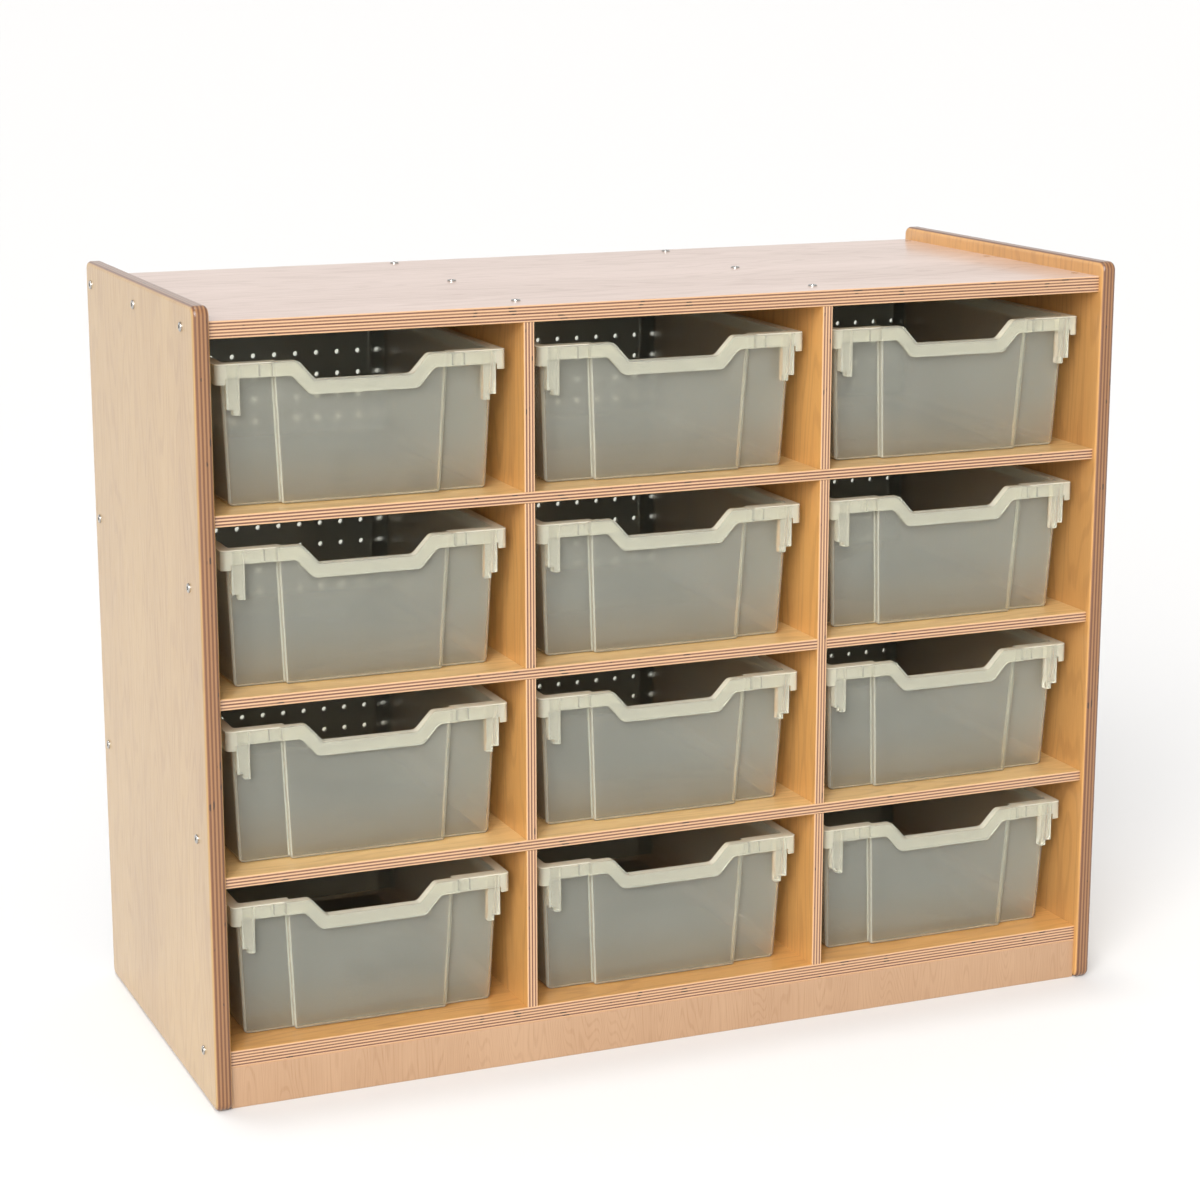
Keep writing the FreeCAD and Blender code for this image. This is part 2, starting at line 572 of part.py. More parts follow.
def rim_cap():
    """The flange and its skirt, a little deeper at the two front corners."""
    outer = block("rim_block", ("-derived.tray_half", "sizes.rim_step", "derived.end_block_level"),
                  ("derived.tray_half", "sizes.tray_depth", "sizes.tray_height"))
    cornered = rounded("rim_cornered", outer, "sizes.tray_corner_radius", steep)
    crowned = rounded("rim_crowned", cornered, "sizes.rim_edge_radius",
                      at_height(number("sizes.tray_height")))
    wall = "sizes.tray_wall"
    hollow = block("rim_hollow_block", (f"-derived.tray_half + {wall}", "derived.skirt_back", "0"),
                   (f"derived.tray_half - {wall}", f"sizes.tray_depth - {wall}",
                    "sizes.tray_height - sizes.rim_thickness"))
    inside = rounded("rim_hollow", hollow, f"sizes.tray_corner_radius - {wall}", steep)
    half = "(derived.tray_half - sizes.end_block_width)"
    below_front = block("rim_front_trim", (f"-{half}", "0", "0"),
                        (half, "sizes.tray_depth", "derived.skirt_level"))
    below_sides = block("rim_side_trim",
                        ("-sizes.tray_width", "sizes.rim_step + sizes.end_block_depth", "0"),
                        ("sizes.tray_width", "2 * sizes.tray_depth", "derived.skirt_level"))
    return cut("rim_cap", crowned, [inside, joined("rim_trim", [below_front, below_sides])])


def dip_line(drop):
    """The front rim's line, down into the hand dip and up again, lowered by a drop square to itself."""
    top, low = f"sizes.tray_height - ({drop})", f"derived.dip_level - ({drop})"
    spread = f"({drop}) * derived.dip_lean"
    half = [("derived.band_half", top), (f"derived.dip_half_top + {spread}", top),
            (f"derived.dip_half_low + {spread}", low)]
    return [(f"-({x})", z) for x, z in half] + [(x, z) for x, z in reversed(half)]


def dip_corner(edge):
    """Whether an edge is one of the dip's corners: along Y, and away from the ends of the band."""
    inside = number("derived.band_half") - TOLERANCE
    return runs_along(edge, Y_AXIS) and abs(edge.CenterOfMass.x) < inside


def dip_band(name, drop, length):
    """A band of the front rim that follows the dip."""
    outline = dip_line("0") + list(reversed(dip_line(drop)))
    band = prism(name, "XZ_Plane", outline, length, reverse=True)
    soften(band, f"{name}_corners", "sizes.dip_radius", dip_corner)
    return band


def tray():
    """One moulded tray."""
    outside = joined("tray_outside", [tub("tray_outer", "0", "0"), rim_cap()])
    shell = cut("tray_shell", outside, [tub("tray_cavity", "sizes.tray_wall", "sizes.tray_wall")])
    above = "sizes.tray_height + sizes.rim_skirt"
    opening = dip_line("0") + [("derived.band_half", above), ("-derived.band_half", above)]
    dip = prism("dip_opening", "XZ_Plane", opening, "sizes.front_lip + 3 * sizes.tray_wall", reverse=True)
    soften(dip, "dip_opening_corners", "sizes.dip_radius", dip_corner)
    dipped = cut("tray_dipped", shell, [dip])
    flange = dip_band("dip_flange", "sizes.rim_thickness", "derived.panel_front_top + sizes.tray_wall")
    skirt = dip_band("dip_skirt", "sizes.rim_skirt", "derived.skirt_back")
    under = "sizes.tray_height - sizes.rim_thickness / 2"
    pieces = [dipped, flange, skirt]
    for hand, side in ((-1, "left"), (1, "right")):
        def upright(label, first, last, front, back, low):
            """An upright piece under the rim, measured inwards from the end of the rim."""
            ends = [f"{hand} * (derived.tray_half - ({distance}))" for distance in (first, last)]
            if hand > 0:
                ends.reverse()
            pieces.append(block(f"{side}_{label}", (ends[0], front, low), (ends[1], back, under)))

        lug_back = "sizes.lug_setback + sizes.lug_depth"
        lug_middle = "sizes.lug_inset + sizes.outer_lug_width"
        upright("outer_lug", "sizes.lug_inset", lug_middle, "sizes.lug_setback", lug_back,
                "derived.skirt_level - sizes.outer_lug_drop")
        upright("inner_lug", lug_middle, f"{lug_middle} + sizes.inner_lug_width", "sizes.lug_setback",
                lug_back, "derived.skirt_level - sizes.inner_lug_drop")
        rib_back = "sizes.front_lip + sizes.tray_wall / 2"
        panel_edge = "derived.tray_half - derived.band_half"
        for label, place in (("outer_rib", "sizes.rib_inset"), ("inner_rib", panel_edge)):
            upright(label, place, f"{place} + sizes.rib_thickness", "sizes.rim_step + sizes.tray_wall / 2",
                    rib_back, "derived.skirt_level")
    return joined("tray", pieces)


# Assembly
parts = [side_panel(-1), side_panel(1)]
parts.append(end_panel("top_panel", "derived.ceiling_level", "derived.top_level", "derived.top_level",
                       "derived.ceiling_level", "derived.ceiling_level + sizes.rebate_width",
                       "derived.top_bolt_level", fixing_depths, fixing_depths))
parts.append(end_panel("bottom_panel", "sizes.toe_height", "derived.floor_level", "sizes.toe_height",
                       "derived.floor_level - sizes.rebate_width", "derived.floor_level",
                       "derived.bottom_bolt_level", fixing_depths[:1], low_fixing_depths))
parts += [shelf_board(name, level) for name, level in shelf_levels.items()]
parts += [divider_board(name, middle) for name, middle in divider_middles.items()]
parts.append(plinth("toe_kick", "derived.board_front", "derived.board_front + sizes.panel_thickness"))
parts.append(plinth("rear_plinth", "derived.rear_plinth_front", "derived.pegboard_rear"))
parts.append(pegboard())

head = ("sizes.head_diameter", "sizes.head_height", "sizes.head_crown")
bolt = fastener("bolt", *head, "sizes.bolt_diameter", "derived.bolt_length", hexagon_socket)
link_screw = fastener("link_screw", *head, "sizes.bolt_diameter", "sizes.link_length", hexagon_socket)
divider_screw = fastener("divider_screw", *head, "sizes.screw_diameter", "derived.screw_length", cross_slot)
back_screw = fastener("back_screw", "sizes.back_screw_head", "sizes.back_screw_height", "sizes.head_crown",
                      "sizes.back_screw_diameter", "derived.back_screw_length", cross_slot)
nut = barrel_nut()
for hand, side, outward in ((-1, "left", LEFT), (1, "right", RIGHT)):
    face, end = f"{hand} * derived.outer_half", f"{hand} * (derived.inner_half - sizes.nut_inset)"
    parts.append(copies(f"{side}_bolts", bolt, [((face, y, z), outward) for y, z in bolt_places]))
    parts.append(copies(f"{side}_link_screws", link_screw, [((face, y, z), outward) for y, z in link_places]))
    nuts = [((end, y, "derived.top_level"), UP) for y in fixing_depths]
    nuts.append(((end, fixing_depths[0], "sizes.toe_height"), DOWN))
    parts.append(copies(f"{side}_barrel_nuts", nut, nuts))
parts.append(copies("top_screws", divider_screw,
                    [((x, y, "derived.top_level"), UP)
                     for x in divider_middles.values() for y in fixing_depths]))
parts.append(copies("bottom_screws", divider_screw,
                    [((x, y, "sizes.toe_height"), DOWN)
                     for x in divider_middles.values() for y in low_fixing_depths]))
parts.append(copies("pegboard_screws", back_screw,
                    [((middle, "derived.pegboard_rear", level), BACKWARD)
                     for middle in column_middles.values() for level in back_screw_levels]))
tray_master = tray()
for row, level in bay_floors.items():
    for column, middle in column_middles.items():
        place = (middle, "derived.tray_front", level)
        parts.append(copies(f"tray_{row}_{column}", tray_master, [(place, UP)]))

doc.recompute()
faults = [thing.Name for thing in doc.Objects if {"Invalid", "Error"} & set(thing.State)]
if faults:
    raise RuntimeError(f"failed objects: {faults}")
for part in parts:
    if part.Shape.isNull() or not part.Shape.isValid():
        raise RuntimeError(f"{part.Name} has no valid shape")

os.makedirs("parts", exist_ok=True)
for part in parts:
    part.Shape.exportStep(f"parts/{part.Label}.step")
    print(f"{part.Label}: {len(part.Shape.Solids)} solids, {part.Shape.Volume / 1000:.1f} cm3")
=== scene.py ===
"""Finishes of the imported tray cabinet: plywood, hardboard, plated steel, moulded trays and a pale studio."""

import math

import bmesh
import bpy
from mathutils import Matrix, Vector


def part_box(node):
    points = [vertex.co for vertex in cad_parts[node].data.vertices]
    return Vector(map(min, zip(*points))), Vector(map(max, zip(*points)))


bl_info = {
    "name": "Tray Cabinet Finishes",
    "version": (1, 0, 0),
    "blender": (4, 5, 0),
    "location": "3D View > Sidebar > Cabinet",
    "description": "Finishes for a plywood classroom cabinet with moulded trays, and the studio it stands in",
    "category": "Material",
}

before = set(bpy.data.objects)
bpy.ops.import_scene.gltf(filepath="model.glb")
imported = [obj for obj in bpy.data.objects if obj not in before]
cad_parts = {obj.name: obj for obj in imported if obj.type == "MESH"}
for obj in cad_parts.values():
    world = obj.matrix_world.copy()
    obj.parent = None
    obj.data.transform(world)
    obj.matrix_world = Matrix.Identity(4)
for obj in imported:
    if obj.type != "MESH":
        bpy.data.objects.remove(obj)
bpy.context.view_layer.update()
MM = 0.001

SIDES = ("left_side_panel", "right_side_panel")
END_PANELS = ("top_panel", "bottom_panel")
SHELVES = ("upper_shelf", "middle_shelf", "lower_shelf")
DIVIDERS = ("left_divider", "right_divider")
PLINTHS = ("toe_kick", "rear_plinth")
FASTENERS = ("left_bolts", "left_link_screws", "left_barrel_nuts", "right_bolts", "right_link_screws",
             "right_barrel_nuts", "top_screws", "bottom_screws", "pegboard_screws")
TRAYS = tuple(sorted(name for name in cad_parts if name.startswith("tray_row")))

# The axis that a board's grain follows
GRAIN_ACROSS, GRAIN_UPRIGHT = 0, 2

# Veneer figure: how much slower it changes along the grain, how close its lines are and how dark
GRAIN_STRETCH = 0.14
FIBRE_STRETCH = 0.02
FACE_RIDGES, FACE_FIGURE = 95, 0.3
TOE_RIDGES, TOE_FIGURE = 460, 0.3
FIBRE_SHADE, CLOUD_SHADE, SHADE_START = 0.55, 0.6, -0.45
LINE_START, LINE_FULL = 0.2, 1
PLY_WANDER = 0.2 * MM
FACE_TURN = 0.75

# How far a board's own number moves its figure, along and across, and the tints of its plies
SEED_ALONG, SEED_ACROSS, SEED_PLY = 3.7, 1.9, 7.31

# Patches to the metre: waves of the glue lines (83 mm), cut end grain (1.1 mm), gaps in the cross plies
# (14 by 11 mm), smears in the plating (1.7 mm) and the pulp of the floor's paper (2.5 mm)
GLUE_WAVES, END_GRAIN, CORE_GAPS = 12, 900, (70, 70, 90)
PLATING_SMEARS, PAPER_PULP = 600, 400
GAP_START, GAP_FULL, GAP_DEPTH, GAP_SHADE = 0.74, 0.77, 0.85, "#2B1A12"
LONG_PLY_FIBRES, CROSS_PLY_GRAIN = 0.2, 0.16

# Most of a noise lies between these; the hardboard's paler fibres show above the second pair
NOISE_LOW, NOISE_HIGH = 0.3, 0.7
SPECK_START, SPECK_FULL, SPECK_SHARE = 0.45, 0.75, 0.8

# Places on a tray, from the middle of its rim's front edge and from its floor
TRAY_HEIGHT = 150 * MM
RIM_START, RIM_FULL = 133 * MM, 136 * MM
SKIRT_END, SKIRT_FULL = 5.5 * MM, 4.5 * MM
LUGS_DEEP, LUGS_ASIDE = 13 * MM, 100 * MM
FRONT_END, FRONT_FULL = 28 * MM, 25 * MM
PANEL_HALF, PANEL_LEAN = 86 * MM, 8 * MM
TUB_HALF, TUB_LEAN = 140 * MM, 7 * MM
PANEL_LINE_END, PANEL_LINE_FULL = 2 * MM, 1 * MM
TUB_LINE_END, TUB_LINE_FULL = -3.5 * MM, -1.5 * MM
FOOT_LINE_END, FOOT_LINE_FULL = 4.5 * MM, 2.2 * MM
CREST_ABOVE, UPWARD_START, UPWARD_FULL = 120 * MM, 0.2, 0.6
# Below this height the tray's plastic is painted warm, as painted light from the shelf under it
PAINTED_SHELF_LIGHT_BELOW = 75 * MM
CLOUD = 45 * MM
HAZE_SPREAD = 0.008
LUG_SHARE = 0.55

# Studio: half the floor's width, where the lights and the camera stand and what they look at, in metres
FLOOR_HALF = 150
LIT_POINT = Vector((0, 0, 0.42))
KEY_FROM = (-2.6, -3.6, 3.4)
OVERHEAD_FROM, OVERHEAD_SPREAD = (-0.1, 0.3, 4.4), math.radians(6)
FRONT_FROM, FRONT_WIDTH, FRONT_HEIGHT = (-2.2, -3.8, 1.8), 2.6, 1.6
CAMERA_TURN, CAMERA_TILT, CAMERA_REACH = math.radians(-22.76), math.radians(12.84), 3.318
CAMERA_POINT = Vector((-0.003, -0.007, 0.46))
SENSOR_MM, FAR_LIMIT = 36, 500
WALLS_TOP, CEILING_START = 0.2, 0.8
PAPER_SMOOTH, PAPER_ROUGH = 0.86, 0.94


def linear(code):
    """A colour written as sRGB hex, as linear red, green and blue."""
    values = [int(code[k:k + 2], 16) / 255 for k in (1, 3, 5)]
    return tuple(v / 12.92 if v <= 0.04045 else ((v + 0.055) / 1.055) ** 2.4 for v in values)


def colour(label, about, code):
    """A colour property with its default as sRGB hex."""
    return bpy.props.FloatVectorProperty(name=label, description=about, subtype="COLOR", size=3, min=0, max=1,
                                         default=linear(code))


def add(tree, kind, inputs=None, **settings):
    """Adds a node with its settings, and sets or links its inputs."""
    made = tree.nodes.new(kind)
    for key, value in settings.items():
        setattr(made, key, value)
    for key, value in (inputs or {}).items():
        if isinstance(value, bpy.types.NodeSocket):
            tree.links.new(value, made.inputs[key])
        else:
            made.inputs[key].default_value = value
    return made


class PlywoodLooks(bpy.types.PropertyGroup):
    """Birch plywood under clear lacquer."""
    # One veneer in lit and shaded copies: the outside faces are darker as painted shade, the faces in the bays
    # are more orange as painted bounce light, and the shelf tops are lighter as painted light
    outer_face_painted_shade: colour("Outer Face", "Veneer on the outside of the side panels", "#B3925F")
    inner_face_painted_bounce: colour("Inner Face", "Veneer inside the bays", "#D7A15E")
    side_inner_face_painted_bounce: colour("Side Inner Face", "Veneer on the inside of the side panels", "#CB985A")
    shelf_top_painted_light: colour("Shelf Top", "Veneer on top of the shelves", "#E4BD80")
    top_face: colour("Top Face", "Veneer on top of the cabinet", "#CCB2A4")
    toe_face: colour("Toe Kick Face", "Veneer of the toe kick", "#AF8D6D")
    figure: colour("Figure", "Darker lines of the veneer's figure", "#7E5530")
    long_ply: colour("Long Ply", "Plies seen along their grain on an edge", "#CAA27C")
    cross_ply: colour("Cross Ply", "Plies seen on their end grain on an edge", "#4E2012")
    side_long_ply: colour("Side Long Ply", "The same on the rounded edges of the sides", "#906742")
    side_cross_ply: colour("Side Cross Ply", "The same on the rounded edges of the sides", "#5E3820")
    ply: bpy.props.FloatProperty(name="Ply", description="Thickness of one ply, drawn coarse to show",
                                 unit="LENGTH", default=1.68 * MM)
    side_ply: bpy.props.FloatProperty(name="Side Ply", description="Thickness of one ply of the sides",
                                      unit="LENGTH", default=2 * MM)
    ring: bpy.props.FloatProperty(name="Figure Width", description="Width of the figure across the grain",
                                  unit="LENGTH", default=70 * MM)
    fibre: bpy.props.FloatProperty(name="Fibre Width", description="Width of the fibre streaks, drawn coarse",
                                   unit="LENGTH", default=0.9 * MM)
    gloss: bpy.props.FloatProperty(name="Roughness", description="Roughness of the lacquer", subtype="FACTOR",
                                   min=0, max=1, default=0.34)


class PegboardLooks(bpy.types.PropertyGroup):
    """Tempered hardboard."""
    # Board: dark brown hardboard drawn nearly black, partly painted shade
    board: colour("Board", "Pressed face", "#15100D")
    speck: colour("Speck", "Paler fibres in the face", "#2C201A")
    fibre: bpy.props.FloatProperty(name="Fibre", description="Length of the pressed fibres", unit="LENGTH",
                                   default=2.5 * MM)


class SteelLooks(bpy.types.PropertyGroup):
    """Bright plated steel."""
    plating: colour("Plating", "Zinc or nickel plating", "#B6B4AF")
    roughness: bpy.props.FloatProperty(name="Roughness", description="Roughness of the plating",
                                       subtype="FACTOR", min=0, max=1, default=0.2)


class TrayLooks(bpy.types.PropertyGroup):
    """Natural polypropylene, injection moulded."""
    plastic: colour("Wall Tint", "Uncoloured polypropylene in a thin wall", "#F3F4E7")
    thick: colour("Rim Tint", "The same where it is seen thick", "#F4F3E2")
    # Foot Tint is painted warm light: the shelf's tan painted into the plastic near the tray's floor
    foot: colour("Foot Tint", "The same near the tray's floor, which takes up the shelf's colour", "#F3EAD3")
    wall: bpy.props.FloatProperty(name="Wall", description="Light let through each skin of a plain wall",
                                  subtype="FACTOR", min=0, max=1, default=0.885)
    rim: bpy.props.FloatProperty(name="Rim", description="The same for the rim, ribs and lugs",
                                 subtype="FACTOR", min=0, max=1, default=0.78)
    # Edge: the pale corner lines, partly thicker plastic seen edge-on and partly painted highlight
    edge: bpy.props.FloatProperty(name="Edge", description="The same where walls turn a corner",
                                  subtype="FACTOR", min=0, max=1, default=0.7)
    # Rim Top: a painted highlight on the upward-facing top of the rim
    painted_rim_top_highlight: bpy.props.FloatProperty(name="Rim Top", description="The same for the upper edge of the rim",
                                   subtype="FACTOR", min=0, max=1, default=0.4)
    roughness: bpy.props.FloatProperty(name="Roughness", description="Roughness of the moulded skin",
                                       subtype="FACTOR", min=0, max=1, default=0.12)


class StageLooks(bpy.types.PropertyGroup):
    """Pale floor, soft light and the camera."""
    floor: colour("Floor", "Seamless floor", "#DCDBDA")
    key: bpy.props.FloatProperty(name="Key Light", description="Strength of the broad light from the left",
                                 default=2.8)
    spread: bpy.props.FloatProperty(name="Key Spread", description="Width of that light, as an angle",
                                    subtype="ANGLE", default=math.radians(40))
    overhead: bpy.props.FloatProperty(name="Overhead Light", description="Strength of the light from above",
                                      default=0.9)
    front: bpy.props.FloatProperty(name="Front Light", description="Power of the large light in front",
                                   unit="POWER", default=70)
    walls: bpy.props.FloatProperty(name="Walls", description="Strength of the white walls around",
                                   default=0.85)
    ceiling: bpy.props.FloatProperty(name="Ceiling", description="Strength of the dimmer ceiling",
                                     default=0.55)
    focal: bpy.props.FloatProperty(name="Focal Length", description="Camera focal length on a 36 mm sensor",
                                   unit="CAMERA", default=86.2)


def blank_material(name):
    """An empty node material and its output node."""
    material = bpy.data.materials.new(name)
    material.use_nodes = True
    material.node_tree.nodes.clear()
    return material, material.node_tree, add(material.node_tree, "ShaderNodeOutputMaterial")


def dress(node, material):
    """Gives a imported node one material."""
    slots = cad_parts[node].data.materials
    slots.clear()
    slots.append(material)


# Birch plywood: rotary-cut veneers glued crosswise, sanded and lacquered. The faces show faint wavy figure
# and fine fibre streaks; the edges show the plies as light and brown stripes, with a few small gaps in the
# cross plies. Real plies and fibres are finer than a pixel, so both are drawn coarser.
# The two colours given for a board's faces hold painted shade and painted bounce light
def birch_plywood(looks, node, along, faces, seed, ridges=FACE_RIDGES, strength=FACE_FIGURE):
    material, tree, output = blank_material(f"birch_plywood_{node}")
    low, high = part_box(node)
    spans = [b - a for a, b in zip(low, high)]
    through = spans.index(min(spans))
    across = 3 - through - along
    rounded = node in SIDES
    long_colour, cross_colour, ply = ((looks.side_long_ply, looks.side_cross_ply, looks.side_ply) if rounded
                                      else (looks.long_ply, looks.cross_ply, looks.ply))
    count = 2 * round((spans[through] / ply - 1) / 2) + 1
    place = add(tree, "ShaderNodeTexCoord")
    split = add(tree, "ShaderNodeSeparateXYZ", {0: place.outputs["Object"]})
    depth = add(tree, "ShaderNodeMath", {0: split.outputs[through], 1: low[through]}, operation="SUBTRACT")
    sheet = add(tree, "ShaderNodeCombineXYZ", {0: split.outputs[along], 1: split.outputs[across],
                                               2: depth.outputs[0]})

    wander = add(tree, "ShaderNodeTexNoise", {"Vector": sheet.outputs[0], "Scale": GLUE_WAVES, "Detail": 1})
    shift = add(tree, "ShaderNodeMath", {0: wander.outputs[0], 1: 0.5}, operation="SUBTRACT")
    bent = add(tree, "ShaderNodeMath", {0: shift.outputs[0], 1: PLY_WANDER, 2: depth.outputs[0]},
               operation="MULTIPLY_ADD")
    level = add(tree, "ShaderNodeMath", {0: bent.outputs[0], 1: spans[through] / count}, operation="DIVIDE")
    floor = add(tree, "ShaderNodeMath", {0: level.outputs[0]}, operation="FLOOR")
    index = add(tree, "ShaderNodeClamp", {0: floor.outputs[0], 1: 0, 2: count - 1})
    odd = add(tree, "ShaderNodeMath", {0: index.outputs[0], 1: 2}, operation="MODULO")
    ply_seed = add(tree, "ShaderNodeMath", {0: index.outputs[0], 1: SEED_PLY * seed}, operation="ADD")
    tint = add(tree, "ShaderNodeTexWhiteNoise", {"W": ply_seed.outputs[0]}, noise_dimensions="1D")

    # Figure: contour lines of a stretched noise, as a rotary cut gives
    stretch = add(tree, "ShaderNodeVectorMath",
                  {0: sheet.outputs[0], 1: (GRAIN_STRETCH / looks.ring, 1 / looks.ring, 0)},
                  operation="MULTIPLY")
    offset = add(tree, "ShaderNodeVectorMath", {0: stretch.outputs[0],
                                                1: (SEED_ALONG * seed, SEED_ACROSS * seed, 0)},
                 operation="ADD")
    hills = add(tree, "ShaderNodeTexNoise", {"Vector": offset.outputs[0], "Scale": 1, "Detail": 2,
                                             "Roughness": 0.4})
    rings = add(tree, "ShaderNodeMath", {0: hills.outputs[0], 1: ridges}, operation="MULTIPLY")
    wave = add(tree, "ShaderNodeMath", {0: rings.outputs[0]}, operation="SINE")
    figure = add(tree, "ShaderNodeMapRange", {0: wave.outputs[0], 1: LINE_START, 2: LINE_FULL, 3: 0, 4: 1},
                 interpolation_type="SMOOTHSTEP")
    streak = add(tree, "ShaderNodeVectorMath", {0: sheet.outputs[0],
                                                1: (FIBRE_STRETCH / looks.fibre, 1 / looks.fibre,
                                                    1 / looks.fibre)},
                 operation="MULTIPLY")
    fibres = add(tree, "ShaderNodeTexNoise", {"Vector": streak.outputs[0], "Scale": 1, "Detail": 3,
                                              "Roughness": 0.6})
    broad = add(tree, "ShaderNodeTexNoise", {"Vector": offset.outputs[0], "Scale": 0.6, "Detail": 2})
    lines = add(tree, "ShaderNodeMath", {0: figure.outputs[0], 1: fibres.outputs[0]}, operation="MULTIPLY")
    fine = add(tree, "ShaderNodeMath", {0: fibres.outputs[0], 1: FIBRE_SHADE, 2: SHADE_START},
               operation="MULTIPLY_ADD")
    amount = add(tree, "ShaderNodeMath", {0: lines.outputs[0], 1: strength, 2: fine.outputs[0]},
                 operation="MULTIPLY_ADD")
    cloudy = add(tree, "ShaderNodeMath", {0: broad.outputs[0], 1: CLOUD_SHADE, 2: amount.outputs[0]},
                 operation="MULTIPLY_ADD")
    far_side = add(tree, "ShaderNodeMath", {0: depth.outputs[0], 1: spans[through] / 2},
                   operation="GREATER_THAN")
    face = add(tree, "ShaderNodeMix", {"Factor": far_side.outputs[0], "A": (*faces[0], 1),
                                       "B": (*faces[1], 1)}, data_type="RGBA")
    veneer = add(tree, "ShaderNodeMix", {"Factor": cloudy.outputs[0], "A": face.outputs["Result"],
                                         "B": (*looks.figure, 1)}, data_type="RGBA")

    # Edges: long plies pale, cross plies brown with pores, each ply a little different
    grit = add(tree, "ShaderNodeTexNoise", {"Vector": sheet.outputs[0], "Scale": END_GRAIN, "Detail": 2})
    inner = add(tree, "ShaderNodeMath", {0: fibres.outputs[0], 1: LONG_PLY_FIBRES}, operation="MULTIPLY")
    long_ply = add(tree, "ShaderNodeMix", {"Factor": inner.outputs[0], "A": (*long_colour, 1),
                                           "B": (*looks.figure, 1)}, data_type="RGBA")
    shade = add(tree, "ShaderNodeMath", {0: grit.outputs[0], 1: tint.outputs[0]}, operation="ADD")
    pale = add(tree, "ShaderNodeMath", {0: shade.outputs[0], 1: CROSS_PLY_GRAIN}, operation="MULTIPLY")
    cross_ply = add(tree, "ShaderNodeMix", {"Factor": pale.outputs[0], "A": (*cross_colour, 1),
                                            "B": (*long_colour, 1)}, data_type="RGBA")
    gap_place = add(tree, "ShaderNodeVectorMath", {0: sheet.outputs[0], 1: CORE_GAPS}, operation="MULTIPLY")
    gaps = add(tree, "ShaderNodeTexNoise", {"Vector": gap_place.outputs[0], "Scale": 1, "Detail": 0})
    gap = add(tree, "ShaderNodeMapRange", {0: gaps.outputs[0], 1: GAP_START, 2: GAP_FULL, 3: 0, 4: GAP_DEPTH})
    holed = add(tree, "ShaderNodeMix", {"Factor": gap.outputs[0], "A": cross_ply.outputs["Result"],
                                        "B": (*linear(GAP_SHADE), 1)}, data_type="RGBA")
    edge = add(tree, "ShaderNodeMix", {"Factor": odd.outputs[0], "A": long_ply.outputs["Result"],
                                       "B": holed.outputs["Result"]}, data_type="RGBA")
    away = add(tree, "ShaderNodeMath", {0: index.outputs[0], 1: (count - 1) / 2}, operation="SUBTRACT")
    far = add(tree, "ShaderNodeMath", {0: away.outputs[0]}, operation="ABSOLUTE")
    outer = add(tree, "ShaderNodeMath", {0: far.outputs[0], 1: (count - 1) / 2 - 0.5},
                operation="GREATER_THAN")
    surface = add(tree, "ShaderNodeNewGeometry")
    facing = add(tree, "ShaderNodeSeparateXYZ", {0: surface.outputs["Normal"]})
    square = add(tree, "ShaderNodeMath", {0: facing.outputs[through]}, operation="ABSOLUTE")
    flat = add(tree, "ShaderNodeMath", {0: square.outputs[0], 1: FACE_TURN}, operation="GREATER_THAN")
    on_face = add(tree, "ShaderNodeMath", {0: outer.outputs[0], 1: flat.outputs[0]}, operation="MULTIPLY")
    wood = add(tree, "ShaderNodeMix", {"Factor": on_face.outputs[0], "A": edge.outputs["Result"],
                                       "B": veneer.outputs["Result"]}, data_type="RGBA")
    polish = add(tree, "ShaderNodeMapRange", {0: fibres.outputs[0], 1: NOISE_LOW, 2: NOISE_HIGH,
                                              3: looks.gloss - 0.05, 4: looks.gloss + 0.08})
    relief = add(tree, "ShaderNodeBump", {"Strength": 0.12, "Distance": 0.3 * MM,
                                          "Height": fibres.outputs[0]})
    shader = add(tree, "ShaderNodeBsdfPrincipled", {
        "Base Color": wood.outputs["Result"], "Roughness": polish.outputs[0], "Normal": relief.outputs[0],
        "Coat Weight": 0.5, "Coat Roughness": 0.14, "IOR": 1.5})
    tree.links.new(shader.outputs[0], output.inputs[0])
    dress(node, material)


# Tempered hardboard: pressed wood fibres, oiled and baked dark brown, drawn nearly black as painted shade of
# the bays' dark back. Smooth, with faint paler fibres.
def tempered_hardboard(looks):
    material, tree, output = blank_material("tempered_hardboard")
    place = add(tree, "ShaderNodeTexCoord")
    fibres = add(tree, "ShaderNodeTexNoise", {"Vector": place.outputs["Object"], "Scale": 1 / looks.fibre,
                                              "Detail": 4, "Roughness": 0.65})
    shown = add(tree, "ShaderNodeMapRange", {0: fibres.outputs[0], 1: SPECK_START, 2: SPECK_FULL,
                                             3: 0, 4: SPECK_SHARE})
    mixed = add(tree, "ShaderNodeMix", {"Factor": shown.outputs[0], "A": (*looks.board, 1),
                                        "B": (*looks.speck, 1)}, data_type="RGBA")
    relief = add(tree, "ShaderNodeBump", {"Strength": 0.2, "Distance": 0.2 * MM, "Height": fibres.outputs[0]})
    shader = add(tree, "ShaderNodeBsdfPrincipled", {"Base Color": mixed.outputs["Result"], "Roughness": 0.75,
                                                    "Specular IOR Level": 0.15, "Normal": relief.outputs[0]})
    tree.links.new(shader.outputs[0], output.inputs[0])
    return material


# Plated steel: turned heads with bright zinc plating. Mirror-like, a little uneven.
def plated_steel(looks):
    material, tree, output = blank_material("plated_steel")
    place = add(tree, "ShaderNodeTexCoord")
    smear = add(tree, "ShaderNodeTexNoise", {"Vector": place.outputs["Object"], "Scale": PLATING_SMEARS,
                                             "Detail": 2})
    uneven = add(tree, "ShaderNodeMapRange", {0: smear.outputs[0], 1: NOISE_LOW, 2: NOISE_HIGH,
                                              3: looks.roughness - 0.06, 4: looks.roughness + 0.1})
    shader = add(tree, "ShaderNodeBsdfPrincipled", {"Base Color": (*looks.plating, 1), "Metallic": 1,
                                                    "Roughness": uneven.outputs[0]})
    tree.links.new(shader.outputs[0], output.inputs[0])
    return material
